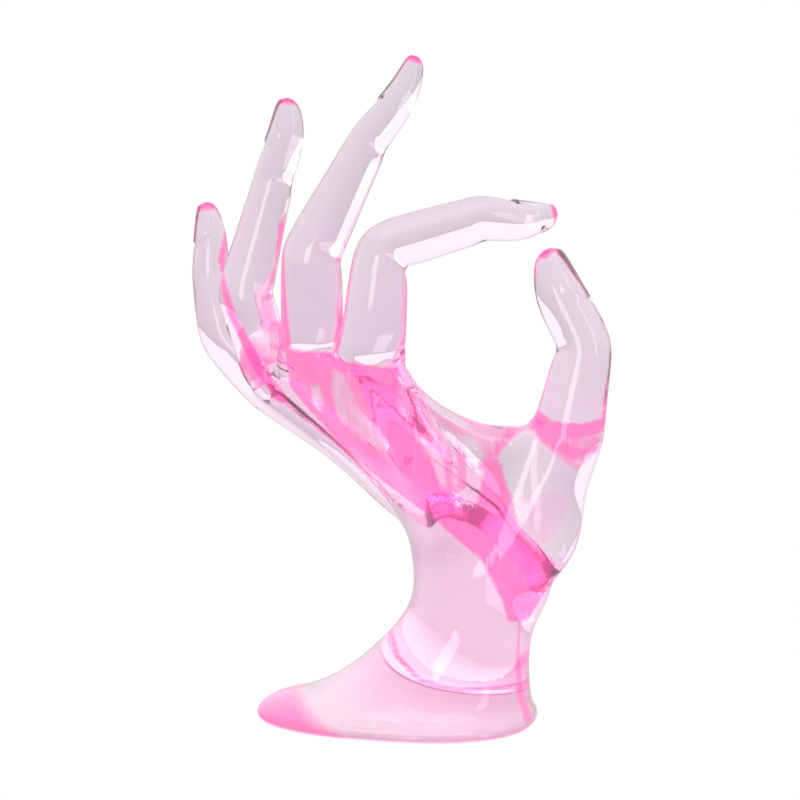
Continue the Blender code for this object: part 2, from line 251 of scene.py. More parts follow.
@dataclass
class HandForm:
    """The sizes of the hand, in millimetres, and the cage that they make."""

    stand_height: float = 159.3
    stand_width: float = 99.4
    sole_length: float = 67.8
    sole_depth: float = 49.4
    sole_turn: float = -15.0
    sole_squareness: float = 2.45
    sole_rim: float = 2.6
    sole_rounding: float = 0.9
    sole_inset: float = 6.0
    corners: int = 28
    corner_share: float = (4.0 + 2.0 * math.cos(math.radians(45.0))) / 6.0
    palm_rows: tuple[float, ...] = (0.17, 0.34, 0.51, 0.68, 0.84)
    wrist_pull: float = 0.7
    knuckle_pull: float = 0.75
    web_dip: float = 2.2
    thumb_web: tuple[float, float, float] = (18.6, -14.5, 73.4)
    thumb_web_thickness: float = 8.0
    ball_of_thumb: Swell = Swell(4.0, 0.45, 10.5, 0.3, 1.6)
    heel_of_palm: Swell = Swell(3.0, 0.35, 1.0, 0.3, 1.6)
    hollow: Swell = Swell(-5.0, 0.62, 6.5, 0.3, 2.6)
    thumb_heel: Swell = Swell(8.2, 0.27, 13, 0.28, 2.2)
    little_heel: Swell = Swell(5.6, 0.34, 27, 0.22, 3.2)
    little_heel_way: tuple[float, float, float] = (-0.7, 0.0, -0.7)
    palm_lean: float = -28.0
    finger_hinge: tuple[float, float, float] = (0.413, -0.883, 0.22)
    first_corner: float = 115.0
    root_rise: float = 0.22
    joint_spread: float = 0.22
    bend_spread: float = 0.5
    tip_rings: tuple[tuple[float, float], ...] = ((0.77, 0.75), (0.93, 0.3))
    wrist: tuple[Section, ...] = (
        Section((-26.4, 4.3), (32.9, 4.4), 43.0, -12.0),
        Section((-14.6, 9.3), (32.0, 8.0), 37.0, -8.0),
        Section((-5.2, 17.4), (31.7, 13.0), 34.0, -4.0),
        Section((1.6, 24.6), (31.8, 18.0), 32.5, 0.0),
        Section((4.2, 31.5), (33.0, 23.6), 32.0, 0.0),
        Section((3.6, 38.5), (37.2, 30.5), 33.0, 0.0),
    )
    digits: list[Digit] = field(init=False)

    def __post_init__(self) -> None:
        """List the five digits from the little finger to the thumb."""
        hinge = self.finger_hinge
        self.digits = [
            Digit("pinky", (-29.6, 15.0, 77.2),
                  (Bone(17.6, -43.2, 13.5), Bone(15.2, -12.7, 7.6), Bone(17.8, -3.9, 3.2)),
                  hinge, (13.0, 13.6, 13.0, 11.4, 9.3, 7.6, 5.8, 3.8), 1.0, (0.0, 0.7), -50.0),
            Digit("ring", (-30.5, 5.0, 82.7),
                  (Bone(20.0, -16.3, 2.9), Bone(27.5, 14.6, 4.2), Bone(20.8, 9.7, 8.5)),
                  hinge, (13.0, 12.6, 13.4, 11.2, 9.5, 8.8, 6.8, 4.4), 1.0, (0.0, 1.5), -46.0),
            Digit("middle", (-19.8, -6.0, 90.1),
                  (Bone(23.6, -0.5, -2.4), Bone(28.8, 27.3, 4.0), Bone(24.3, 29.7, 12.0)),
                  hinge, (14.4, 14.6, 14.0, 11.7, 9.6, 8.0, 5.8, 4.0), 1.0, (0.0, 1.9), -36.0),
            Digit("forefinger", (-5.9, -17.0, 89.9),
                  (Bone(26.8, 4.7, -1.1), Bone(24.5, 76.0, 15.2), Bone(19.1, 87.5, 15.3)),
                  (0.3, -0.95, 0.0), (15.4, 14.4, 12.7, 11.8, 11.0, 9.4, 6.8, 4.2), 1.0, (0.0, 1.5),
                  -26.0),
            Digit("thumb", (40.2, -8.0, 71.2), (Bone(20.8, 10.5, 0.0), Bone(25.6, -21.0, 6.8)),
                  (0.94, -0.34, 0.0), (17.2, 15.0, 13.2, 12.0, 9.2, 6.0), 0.94, (-1.5, 0.0), 10.0,
                  nail=NailSide.THUMB_SIDE),
        ]

    def palm_normal(self) -> np.ndarray:
        """The way the palm faces."""
        return unit(np.cross(heading(self.palm_lean), np.array(self.finger_hinge)))

    def digit_ring(self, digit: Digit, centre: np.ndarray, way: np.ndarray,
                   ring: Ring) -> list[np.ndarray]:
        """Eight corners round a digit, from its palmar side nearest the little finger.

        Args:
            digit: The finger or thumb.
            centre: The middle of the section before its shift.
            way: The direction along the digit there.
            ring: The section's sizes.

        Returns:
            The places of the eight corners.
        """
        side, palmar = digit.axes(way)
        centre = centre + side * ring.shift[0] + palmar * ring.shift[1]
        breadth = ring.breadth / 2.0 / self.corner_share
        thickness = ring.thickness / 2.0 / self.corner_share
        angles = np.radians([(225.0 + 45.0 * corner) % 360.0 for corner in range(8)])
        return [centre + side * breadth * math.cos(angle) - palmar * thickness * math.sin(angle)
                for angle in angles]

    @staticmethod
    def bend(ways: list[np.ndarray], joint: int) -> float:
        """The angle between the bones on the two sides of a joint."""
        return math.acos(min(1.0, float(np.dot(ways[joint - 1], ways[joint]))))

    def joint_reach(self, ways: list[np.ndarray], joint: int, breadth: float) -> float:
        """How far from a joint its neighbouring sections stand, further where it bends more."""
        return breadth * (self.joint_spread + self.bend_spread * math.tan(self.bend(ways, joint) / 2.0))

    def digit_sections(self, digit: Digit) -> list[list[np.ndarray]]:
        """All the sections of a digit, from its web to just below its tip.

        Args:
            digit: The finger or thumb.

        Returns:
            The corners of each section.
        """
        joints = digit.joints()
        ways = [bone.way() for bone in digit.bones]
        last = len(digit.bones) - 1
        flat = digit.flatness
        first = digit.breadths[0]
        sections = [self.digit_ring(digit, joints[0], ways[0], Ring(first, first * flat))]
        for index, bone in enumerate(digit.bones):
            before, middle, after = digit.breadths[2 * index:2 * index + 3]
            length = bone.length
            rise = self.root_rise * length if index == 0 else self.joint_reach(ways, index, before)
            places = [(rise, before + (middle - before) * 2.0 * rise / length, 0.0),
                      (length / 2.0, middle, 1.0 if index == last else 0.0)]
            if index < last:
                fall = self.joint_reach(ways, index + 1, after)
                places.append((length - fall, after + (middle - after) * 2.0 * fall / length, 0.0))
            else:
                places += [(share * length, breadth, padding) for (share, padding), breadth
                           in zip(self.tip_rings, (after, digit.breadths[-1]))]
            for distance, breadth, padding in places:
                ring = Ring(breadth, breadth * flat, (digit.pad[0] * padding, digit.pad[1] * padding))
                centre = joints[index] + ways[index] * distance
                sections.append(self.digit_ring(digit, centre, ways[index], ring))
            if index < last:
                stretch = math.cos(self.bend(ways, index + 1) / 2.0) ** -0.5
                between = unit(ways[index] + ways[index + 1])
                sections.append(self.digit_ring(digit, joints[index + 1], between,
                                                Ring(after, after * flat * stretch)))
        return sections

    def oval(self, centre: np.ndarray, reach: np.ndarray, depth: float, turn: float,
             squareness: float = 2.0) -> list[np.ndarray]:
        """Closed section in palm order: palmar side, thumb side, dorsal side, little-finger side.

        Args:
            centre: The middle of the section.
            reach: From the middle to the right end.
            depth: The size from front to back.
            turn: Degrees that the oval is turned in its own plane.
            squareness: 2 for an ellipse, and more for fuller corners.

        Returns:
            The places of the corners.
        """
        turn = math.radians(turn)
        flat, back = unit(reach), np.array([0.0, 1.0, 0.0])
        length = float(np.linalg.norm(reach))
        power = 2.0 / squareness
        places = []
        for step in range(self.corners):
            angle = math.radians(self.first_corner - (step + 1) * 360.0 / self.corners) - turn
            x = length * math.copysign(abs(math.cos(angle)) ** power, math.cos(angle))
            y = depth / 2.0 * math.copysign(abs(math.sin(angle)) ** power, math.sin(angle))
            places.append(centre + flat * (x * math.cos(turn) - y * math.sin(turn))
                          + back * (x * math.sin(turn) + y * math.cos(turn)))
        return places

    def sole_section(self, height: float, inset: float) -> list[np.ndarray]:
        """A level section of the foot's rim, at a height and drawn in by an inset."""
        reach = np.array([self.sole_length / 2.0 - inset, 0.0, 0.0])
        return self.oval(np.array([0.0, 0.0, height]), reach, self.sole_depth - 2.0 * inset,
                         self.sole_turn, self.sole_squareness)

    def wrist_section(self, section: Section) -> list[np.ndarray]:
        """The corners of one section of the wrist."""
        left = np.array([section.left[0], 0.0, section.left[1]])
        right = np.array([section.right[0], 0.0, section.right[1]])
        return self.oval((left + right) / 2.0, (right - left) / 2.0, section.depth, section.turn)

    def palm_edge(self, roots: list[list[np.ndarray]]) -> tuple[list[np.ndarray], dict[int, np.ndarray]]:
        """The palm's upper edge, where the digits leave it.

        Args:
            roots: The first section of each digit.

        Returns:
            The corners of the edge in palm order, and the web's corners by column.
        """
        palmar: list[np.ndarray | None] = [None] * 13
        dorsal: list[np.ndarray | None] = [None] * 13
        web: dict[int, np.ndarray] = {}
        down = np.array([0.0, 0.0, -self.web_dip])
        for finger in range(4):
            palmar[2 * finger + 1], dorsal[2 * finger + 1] = roots[finger][1], roots[finger][5]
        palmar[0], dorsal[0] = roots[0][0], roots[0][6]
        for finger in range(3):
            near, far = roots[finger + 1], roots[finger]
            column = 2 * finger + 2
            palmar[column] = (far[2] + near[0]) / 2.0 + down / 2.0
            dorsal[column] = (far[4] + near[6]) / 2.0 + down / 2.0
            web[column] = (far[3] + near[7]) / 2.0 + down
        fore, thumb = roots[3], roots[4]
        palmar[8], web[8], dorsal[8] = fore[2], fore[3], fore[4]
        palmar[10:13] = thumb[0:3]
        dorsal[10:13] = thumb[6:3:-1]
        web[9], web[10] = np.array(self.thumb_web), thumb[7]
        sideways = unit(np.cross(np.array([0.0, 0.0, 1.0]), thumb[7] - fore[3]))
        half = sideways * self.thumb_web_thickness / 2.0
        palmar[9] = web[9] + half + down
        dorsal[9] = web[9] - half + down
        return palmar + [thumb[3]] + dorsal[::-1] + [roots[0][7]], web

    def edge_leans(self) -> list[float]:
        """The lean of the hand bones under each corner of the palm's upper edge."""
        fingers = [digit.carpal_lean for digit in self.digits]
        known = {0: fingers[0], 1: fingers[0], 3: fingers[1], 5: fingers[2], 7: fingers[3],
                 8: fingers[3], 10: fingers[4], 11: fingers[4], 12: fingers[4]}
        row = [known.get(column, (known.get(column - 1, 0.0) + known.get(column + 1, 0.0)) / 2.0)
               for column in range(13)]
        return row + [row[12]] + row[::-1] + [row[0]]

    def swell(self, row: float, corner: int) -> float:
        """How far the palm's skin moves out, by row from the wrist and by corner round the section."""
        hills = (self.ball_of_thumb, self.heel_of_palm, self.hollow)
        return sum(hill.height * hill.share(row, corner - hill.corner) for hill in hills)

    def palm_section(self, row: float, wrist: list[np.ndarray],
                     top: list[np.ndarray]) -> list[np.ndarray]:
        """One section of the palm, on curves that leave the wrist's axis for the hand bones.

        Args:
            row: 0 at the wrist and 1 at the roots of the digits.
            wrist: The corners of the wrist's last section.
            top: The corners of the palm's upper edge.

        Returns:
            The places of the section's corners.
        """
        last = self.wrist[-1]
        axis = unit(np.array([last.left[1] - last.right[1], 0.0, last.right[0] - last.left[0]]))
        thumb_side, little_side = self.thumb_heel.corner, self.little_heel.corner
        squared, cubed = row * row, row ** 3
        places = []
        for number, (low, high, lean) in enumerate(zip(wrist, top, self.edge_leans())):
            span = float(np.linalg.norm(high - low))
            start, end = axis * span * self.wrist_pull, heading(lean) * span * self.knuckle_pull
            place = ((2 * cubed - 3 * squared + 1) * low + (cubed - 2 * squared + row) * start
                     + (3 * squared - 2 * cubed) * high + (cubed - squared) * end)
            if number < thumb_side:
                place = place + self.palm_normal() * self.swell(row, number)
            ball = self.thumb_heel.share(row, number - thumb_side)
            place = place + np.array([self.thumb_heel.height * ball, 0.0, 0.0])
            away = min(abs(number - little_side), self.corners - abs(number - little_side))
            heel = self.little_heel.share(row, away)
            places.append(place + np.array(self.little_heel_way) * self.little_heel.height * heel)
        return places

    def build(self) -> Cage:
        """The whole hand as one closed cage of quads, in millimetres."""
        cage = Cage()
        rim = ((0.0, self.sole_inset), (0.0, self.sole_rounding), (self.sole_rounding, 0.0),
               (self.sole_rim, 0.0))
        sole = [self.sole_section(height, inset) for height, inset in rim]
        previous = cage.add(sole[0])
        cage.close_sole(previous)
        for places in sole[1:] + [self.wrist_section(section) for section in self.wrist]:
            previous = cage.row(previous, places)
        wrist = [cage.points[number] for number in previous]
        sections = [self.digit_sections(digit) for digit in self.digits]
        top, web = self.palm_edge([section[0] for section in sections])
        for row in self.palm_rows:
            previous = cage.row(previous, self.palm_section(row, wrist, top))
        self.add_digits(cage, cage.row(previous, top), web, sections)
        return cage

    def add_digits(self, cage: Cage, top: list[int], web: dict[int, np.ndarray],
                   sections: list[list[list[np.ndarray]]]) -> None:
        """Grow the five digits and the thumb's web from the palm's upper edge.

        Args:
            cage: The cage so far.
            top: The corners of the palm's upper edge.
            web: The places of the web's corners, by column.
            sections: The sections of each digit.
        """
        palmar, thumb_side, dorsal, little_side = top[:13], top[13], top[26:13:-1], top[27]
        webs = {column: cage.add([place])[0] for column, place in web.items()}
        bases = []
        for finger in range(4):
            low, high = 2 * finger, 2 * finger + 2
            far = little_side if finger == 0 else webs[low]
            bases.append([palmar[low], palmar[low + 1], palmar[high], webs[high],
                          dorsal[high], dorsal[low + 1], dorsal[low], far])
        bases.append(palmar[10:13] + [thumb_side] + dorsal[12:9:-1] + [webs[10]])
        for base, digit, rings in zip(bases, self.digits, sections):
            previous = base
            for places in rings[1:]:
                previous = cage.row(previous, places)
            cage.cap_digit(previous, digit.joints()[-1])
        for column in (8, 9):
            beside = column + 1
            cage.faces.append((palmar[beside], palmar[column], webs[column], webs[beside]))
            cage.faces.append((webs[beside], webs[column], dorsal[column], dorsal[beside]))


@dataclass(frozen=True)
class Nail:
    """A nail on a digit's last bone, in shares of that bone and of the digit's breadth there."""

    start: float = 0.40
    curve: float = 0.10
    height: float = 0.4
    edge: float = 0.5
    groove: float = 0.12
    half_angle: float = 62.0
    side: float = 20.0
    tip_fade: tuple[float, float] = (0.85, 0.45)
    skin_share: float = 0.8


@dataclass(frozen=True)
class Crease:
    """A line pressed into the palm side, through points of the front view in millimetres."""

    points: FlatLine
    depth: float
    width: float


@dataclass(frozen=True)
class Stroke:
    """A stretch where the tint gathers, through points of the front view in millimetres."""

    points: FlatLine
    widths: tuple[float, float]
    strength: float
    soft: float = 1.2

    def cover(self, places: np.ndarray) -> np.ndarray:
        """How strongly the stroke covers points of the front view.

        Args:
            places: One row of X and Z for each point.

        Returns:
            The cover at each point, from 0 to its strength.
        """
        distance, along = polyline_distance(places, self.points)
        width = self.widths[0] + (self.widths[1] - self.widths[0]) * along
        return self.strength * smooth(width + self.soft, width - self.soft, distance)


@dataclass(frozen=True)
class Patch:
    """A closed stretch of the front view where the tint gathers, in millimetres."""

    points: FlatLine
    strength: float
    soft: float

    def cover(self, places: np.ndarray) -> np.ndarray:
        """How strongly the patch covers points of the front view.

        Args:
            places: One row of X and Z for each point.

        Returns:
            The cover at each point, from 0 to its strength.
        """
        distance, _ = polyline_distance(places, self.points + self.points[:1])
        inside = np.zeros(len(places), dtype=bool)
        for (x0, z0), (x1, z1) in zip(self.points, self.points[1:] + self.points[:1]):
            crosses = (z0 > places[:, 1]) != (z1 > places[:, 1])
            at = x0 + (places[:, 1] - z0) * (x1 - x0) / (z1 - z0 if z1 != z0 else 1.0)
            inside ^= crosses & (places[:, 0] < at)
        return self.strength * smooth(-self.soft, self.soft, np.where(inside, distance, -distance))


class SkinMask(Enum):
    """Values that the skin carries from the mesh to its finish."""

    TINT_AND_GLOW = "tint_and_glow"
    RIPPLE = "ripple"
    GROUND = "ground_face"


def polyline_distance(points: np.ndarray, line: FlatLine) -> tuple[np.ndarray, np.ndarray]:
    """How far points of a plane lie from a polyline.

    Args:
        points: One row of two numbers for each point.
        line: The polyline's own points.

    Returns:
        The distance of each point, and how far along the line its nearest place is, from 0 to 1.
    """
    nodes = np.array(line, dtype=float)
    lengths = np.linalg.norm(np.diff(nodes, axis=0), axis=1)
    before = np.concatenate([[0.0], np.cumsum(lengths)])
    best = np.full(len(points), np.inf)
    along = np.zeros(len(points))
    for index in range(len(nodes) - 1):
        step = nodes[index + 1] - nodes[index]
        share = np.clip((points - nodes[index]) @ step / max(1e-9, float(step @ step)), 0.0, 1.0)
        distance = np.linalg.norm(points - nodes[index] - share[:, None] * step, axis=1)
        nearer = distance < best
        best = np.where(nearer, distance, best)
        along = np.where(nearer, (before[index] + share * lengths[index]) / before[-1], along)
    return best, along


@dataclass
class HandSkin:
    """The rounded skin of the hand: nails, creases and the places where the tint and its painted glow
    gather.

    The tongue is the paler tongue in the middle of the palm, and the pillow the paler window in the ball
    of the thumb. Both are outlined in the front view, and pink lines run round them.
    """

    tongue: ClassVar[FlatLine] = (
        (0.7, 84.5), (5.4, 81.0), (12.5, 75.0), (16.8, 72.5), (16.0, 67.6), (15.4, 60.4), (12.5, 58.7),
        (11.3, 64.0), (10.2, 69.0), (4.3, 76.0))
    pillow: ClassVar[FlatLine] = (
        (27.9, 58.0), (38.5, 59.6), (41.0, 55.0), (37.5, 47.5), (34.0, 45.5), (29.0, 50.0))

    form: HandForm
    level: int = 3
    nail: Nail = Nail()
    joint_crease_depth: float = 0.16
    joint_crease_width: float = 1.2
    joint_crease_places: tuple[float, float] = (0.7, -0.9)
    root_crease_depth: float = 0.7
    root_crease_width: float = 0.9
    tip_tint_reach: float = 4.8
    sole_fade: tuple[float, float] = (0.1, 0.3)
    joint_facing: tuple[float, float] = (-0.1, 0.5)
    palm_facing: tuple[float, float] = (0.1, 0.5)
    patch_facing: tuple[float, float] = (0.1, -0.2)
    stroke_facing: tuple[float, float] = (0.6, 0.2)
    crease_start: tuple[float, float] = (0.0, 0.12)
    crease_end: tuple[float, float] = (1.0, 0.85)
    creases: tuple[Crease, ...] = (
        Crease(((26.5, 71.0), (23.0, 66.0), (24.6, 62.0), (26.7, 55.0), (29.3, 47.5), (32.6, 43.0)),
               0.6, 1.3),
        Crease(((1.5, 88.0), (5.5, 80.0), (11.0, 72.0), (17.0, 62.0), (23.0, 52.0)), 0.5, 1.2),
        Crease(((-22.0, 88.0), (-14.0, 80.0), (-4.0, 73.0), (6.0, 64.0)), 0.5, 1.1),
    )
    patches: tuple[Patch, ...] = (
        Patch(((-26.5, 92.0), (-12.0, 91.0), (1.2, 89.5), (0.3, 84.5), (1.5, 78.5), (6.6, 70.0),
               (10.2, 61.5), (13.7, 55.6), (17.8, 54.0), (19.0, 59.0), (20.0, 66.5), (24.0, 66.6),
               (25.4, 61.6), (27.0, 56.8), (28.6, 49.8), (32.0, 45.2), (37.4, 41.1), (34.0, 31.0),
               (31.0, 26.0), (26.0, 27.0), (24.4, 32.7), (19.6, 42.0), (7.8, 52.5), (-4.0, 59.0),
               (-11.0, 64.0), (-17.0, 71.0), (-25.3, 81.0)), 1.0, 0.9),
        Patch(tongue, 0.5, 0.8),
        Patch(((13.7, 77.3), (24.4, 74.9), (29.1, 74.2), (24.4, 70.1), (20.3, 66.0), (17.3, 71.3)),
              0.62, 1.2),
        Patch(((31.5, 74.2), (48.5, 72.0), (47.5, 67.6), (42.1, 62.8), (37.4, 66.0), (33.8, 70.0)),
              0.68, 1.5),
        Patch(pillow, 0.48, 0.8),
    )
    petals: tuple[Patch, ...] = (
        Patch(((-15.0, 88.0), (-12.0, 86.5), (-8.8, 78.5), (-4.0, 73.7), (-0.5, 69.0), (-2.0, 67.6),
               (-9.0, 69.6), (-13.5, 73.7), (-15.5, 81.0)), 0.4, 0.6),
        Patch(((-20.0, 83.0), (-18.0, 83.5), (-17.0, 78.0), (-18.5, 75.5), (-20.0, 78.0)), 0.5, 0.5),
    )
    strokes: tuple[Stroke, ...] = (
        Stroke(((20.3, 65.0), (24.5, 70.5), (29.0, 73.5), (31.5, 76.5)), (1.6, 1.2), 0.9),
        Stroke(((31.5, 76.0), (36.0, 73.4), (43.0, 73.0), (48.5, 74.0)), (1.9, 1.9), 1.0, 1.0),
        Stroke(((33.0, 74.0), (37.0, 70.0), (41.5, 67.5), (46.0, 68.5)), (2.6, 1.6), 0.95, 1.5),
        Stroke(tongue + tongue[:1], (1.1, 1.3), 0.75, 0.9),
        Stroke(((34.0, 114.5), (36.2, 117.5)), (2.2, 2.2), 1.0, 0.8),
        Stroke(((48.5, 70.0), (46.5, 58.0), (42.5, 47.0), (38.5, 37.5)), (0.8, 1.4), 0.55, 1.4),
        Stroke(((-40.0, 118.0), (-42.0, 108.0), (-39.0, 98.0), (-33.0, 86.0), (-27.5, 78.0)), (0.8, 1.7),
               1.0, 0.9),
        Stroke(((-27.2, 119.0), (-27.0, 104.0), (-26.2, 92.0)), (1.0, 1.7), 1.0, 0.9),
        Stroke(((-10.6, 114.0), (-12.0, 104.0), (-14.0, 94.0)), (0.7, 1.1), 0.9, 0.9),
        Stroke(((-34.0, 3.0), (-27.0, 3.5), (-13.0, 0.5)), (4.5, 1.0), 1.0, 3.6),
        Stroke(((-30.0, 0.0), (-10.0, 0.0), (10.0, 0.0), (30.0, 0.5)), (1.0, 1.2), 0.6, 1.5),
        Stroke(((29.0, 27.0), (28.6, 18.0), (29.2, 8.0), (31.0, 3.0)), (0.5, 1.2), 0.8, 0.9),
        Stroke(((-2.1, 23.0), (0.2, 17.8), (5.4, 13.4), (13.7, 11.4), (28.0, 11.0)), (0.9, 0.5), 0.95, 0.9),
        Stroke(((3.2, 25.0), (6.5, 21.0), (7.5, 17.5)), (0.6, 1.2), 0.55, 1.3),
        Stroke(pillow + pillow[:1], (0.4, 0.4), 0.45, 0.7),
    )
    flow_lines: tuple[Stroke, ...] = (
        Stroke(((-20.0, 86.0), (0.0, 70.0), (14.0, 56.0), (28.0, 38.0)), (13.0, 13.0), 0.4, 5.0),
        Stroke(((24.0, 68.5), (33.0, 74.0), (44.0, 71.5)), (3.5, 4.5), 0.7, 2.5),
        Stroke(((-26.0, 6.0), (-8.0, 8.0), (14.0, 5.0), (28.0, 4.0)), (3.0, 3.0), 0.6, 2.0),
    )

    def rounded(self, cage: Cage) -> bpy.types.Mesh:
        """The cage's limit form as a fine mesh of quads.

        Args:
            cage: The coarse cage, in millimetres.

        Returns:
            A new mesh, in metres.
        """
        coarse = bpy.data.meshes.new("hand_cage")
        coarse.from_pydata([tuple(point * MM) for point in cage.points], [], cage.faces)
        guide = bpy.data.objects.new("hand_cage", coarse)
        bpy.context.scene.collection.objects.link(guide)
        rounding = guide.modifiers.new("rounding", "SUBSURF")
        rounding.levels = rounding.render_levels = self.level
        bpy.context.view_layer.update()
        depsgraph = bpy.context.evaluated_depsgraph_get()
        fine = bpy.data.meshes.new_from_object(guide.evaluated_get(depsgraph))
        bpy.data.objects.remove(guide)
        bpy.data.meshes.remove(coarse)
        fine.name = "hand_skin"
        return fine

    def build(self) -> bpy.types.Mesh:
        """The finished skin mesh, with its masks."""
        mesh = self.rounded(self.form.build())
        places, normals = np.empty(len(mesh.vertices) * 3), np.empty(len(mesh.vertices) * 3)
        mesh.vertices.foreach_get("co", places)
        mesh.vertices.foreach_get("normal", normals)
        places, normals = places.reshape(-1, 3) / MM, normals.reshape(-1, 3)
        rise = self.nails(places, normals)
        rise = rise - self.joint_lines(places, normals) - self.palm_lines(places, normals)
        shaped = places + normals * rise[:, None]
        shaped[:, 2] = np.where(places[:, 2] < self.sole_fade[0], 0.0, shaped[:, 2])
        mesh.vertices.foreach_set("co", (shaped * self.growth(shaped) * MM).ravel())
        masks = {SkinMask.TINT_AND_GLOW: self.tint(places, normals), SkinMask.RIPPLE: self.ripple(places),
                 SkinMask.GROUND: smooth(*self.sole_fade[::-1], places[:, 2])}
        for mask, values in masks.items():
            layer = mesh.attributes.new(mask.value, "FLOAT", "POINT")
            layer.data.foreach_set("value", values.astype(np.float32))
        mesh.update()
        mesh.shade_smooth()
        return mesh

    def growth(self, places: np.ndarray) -> np.ndarray:
        """How much the form is stretched along X, Y and Z to its named width and height."""
        wide = self.form.stand_width / float(np.ptp(places[:, 0]))
        high = self.form.stand_height / float(np.ptp(places[:, 2]))
        return np.array([wide, math.sqrt(wide * high), high])

    def nails(self, places: np.ndarray, normals: np.ndarray) -> np.ndarray:
        """How far each point rises for the nails.

        Args:
            places: The skin's points, in millimetres.
            normals: The way the skin faces at each.

        Returns:
            The rise at each point, in millimetres.
        """
        rise = np.zeros(len(places))
        nail = self.nail
        for digit in self.form.digits:
            joints = digit.joints()
            bone = digit.bones[-1]
            way = bone.way()
            back = digit.nail_way(way)
            offset = places - joints[-2]
            along, radial = along_and_off(offset, way)
            angle = np.degrees(np.arctan2(np.abs(offset @ np.cross(way, back)), offset @ back))
            cuticle = bone.length * (nail.start + nail.curve * (angle / nail.half_angle) ** 2)
            plate = smooth(cuticle, cuticle + nail.edge, along)
            plate = plate * smooth(nail.half_angle + nail.side, nail.half_angle, angle)
            plate = plate * smooth(*nail.tip_fade, normals @ way)
            groove = np.exp(-((along - cuticle + nail.edge) / nail.edge) ** 2)
            groove = groove * (angle < nail.half_angle)
            own = (radial < nail.skin_share * digit.breadths[-4]) & (along > 0.0)
            rise += own * (nail.height * plate - nail.groove * groove)
        return rise

    def joint_lines(self, places: np.ndarray, normals: np.ndarray) -> np.ndarray:
        """How deep each point lies in the creases across the digits.

        Args:
            places: The skin's points, in millimetres.
            normals: The way the skin faces at each.

        Returns:
            The depth at each point, in millimetres.
        """
        depth = np.zeros(len(places))
        for digit in self.form.digits:
            ways = [bone.way() for bone in digit.bones]
            for number, joint in enumerate(digit.joints()[:-1]):
                way = ways[0] if number == 0 else unit(ways[number - 1] + ways[number])
                lengthwise, radial = along_and_off(places - joint, way)
                facing = smooth(*self.joint_facing, normals @ -digit.nail_way(way))
                near = (radial < self.nail.skin_share * digit.breadths[2 * number]) * facing
                if number == 0:
                    line = self.root_crease_depth * np.exp(-(lengthwise / self.root_crease_width) ** 2)
                else:
                    line = self.joint_crease_depth * sum(
                        np.exp(-((lengthwise - place) / self.joint_crease_width) ** 2)
                        for place in self.joint_crease_places)
                depth = np.maximum(depth, near * line)
        return depth

    def palm_lines(self, places: np.ndarray, normals: np.ndarray) -> np.ndarray:
        """How deep each point lies in the palm's own creases, which fade out at their ends.

        Args:
            places: The skin's points, in millimetres.
            normals: The way the skin faces at each.

        Returns:
            The depth at each point, in millimetres.
        """
        facing = smooth(*self.palm_facing, normals @ self.form.palm_normal())
        depth = np.zeros(len(places))
        for crease in self.creases:
            distance, along = polyline_distance(places[:, [0, 2]], crease.points)
            fade = smooth(*self.crease_start, along) * smooth(*self.crease_end, along)
            line = crease.depth * np.exp(-(distance / crease.width) ** 2)
            depth = np.maximum(depth, line * facing * fade)
        return depth

    def tint(self, places: np.ndarray, normals: np.ndarray) -> np.ndarray:
        """How strongly the tint gathers on the thumb side and at the fingertips; the same value sets the
        painted pink glow there.

        Args:
            places: The skin's points, in millimetres.
            normals: The way the skin faces at each.

        Returns:
            The tint at each point, from 0 to 1.
        """
        flat = places[:, [0, 2]]
        value = np.max([patch.cover(flat) for patch in self.patches], axis=0)
        for petal in self.petals:
            value = value * (1.0 - petal.cover(flat))
        value = value * smooth(*self.patch_facing, normals[:, 1])
        front = smooth(*self.stroke_facing, normals[:, 1])
        for stroke in self.strokes:
            value = np.maximum(value, stroke.cover(flat) * front)
        for digit in self.form.digits:
            reach = np.linalg.norm(places - digit.joints()[-1], axis=1)
            value = np.maximum(value, smooth(self.tip_tint_reach, 0.5 * self.tip_tint_reach, reach))
        return value * smooth(*self.sole_fade, places[:, 2])

    def ripple(self, places: np.ndarray) -> np.ndarray:
        """How much the cast's flow marks disturb the skin at each point, from 0 to 1."""
        flat = places[:, [0, 2]]
        return np.max([line.cover(flat) for line in self.flow_lines], axis=0)


@dataclass
class NodeBoard:
    """Adds nodes to one node tree and feeds them into each other."""

    tree: bpy.types.NodeTree

    def add(self, kind: str, values: dict[str | int, object] | None = None,
            **settings: object) -> bpy.types.Node:
        """Add a node.

        Args:
            kind: The node's Blender type.
            values: What its input sockets get, by their names or numbers.
            settings: Its plain properties.

        Returns:
            The new node.
        """
        made = self.tree.nodes.new(kind)
        for key, value in settings.items():
            setattr(made, key, value)
        self.fill(made, values or {})
        return made

    def fill(self, node: bpy.types.Node, values: dict[str | int, object]) -> None:
        """Give a node's input sockets plain values, or feed other sockets into them.

        Args:
            node: The node.
            values: What its input sockets get, by their names or numbers.
        """
        for key, value in values.items():
            if isinstance(value, Socket):
                self.tree.links.new(value, node.inputs[key])
            else:
                node.inputs[key].default_value = value

    def math(self, operation: str, *terms: object) -> Socket:
        """The result of a sum or product of sockets and plain values."""
        return self.add("ShaderNodeMath", dict(enumerate(terms)), operation=operation).outputs["Value"]

    def mask(self, mask: SkinMask) -> Socket:
        """The value that the skin carries for a mask."""
        return self.add("ShaderNodeAttribute", attribute_name=mask.value).outputs["Fac"]

    def map_range(self, **values: object) -> Socket:
        """A value mapped to another range, with the node's socket names written with underscores."""
        named = {key.replace("_", " "): value for key, value in values.items()}
        return self.add("ShaderNodeMapRange", named).outputs["Result"]

    def blend(self, share: object, first: object, second: object) -> Socket:
        """A mix of two colours by a share."""
        values = {"Factor": share, "A": first, "B": second}
        return self.add("ShaderNodeMix", values, data_type="RGBA").outputs["Result"]


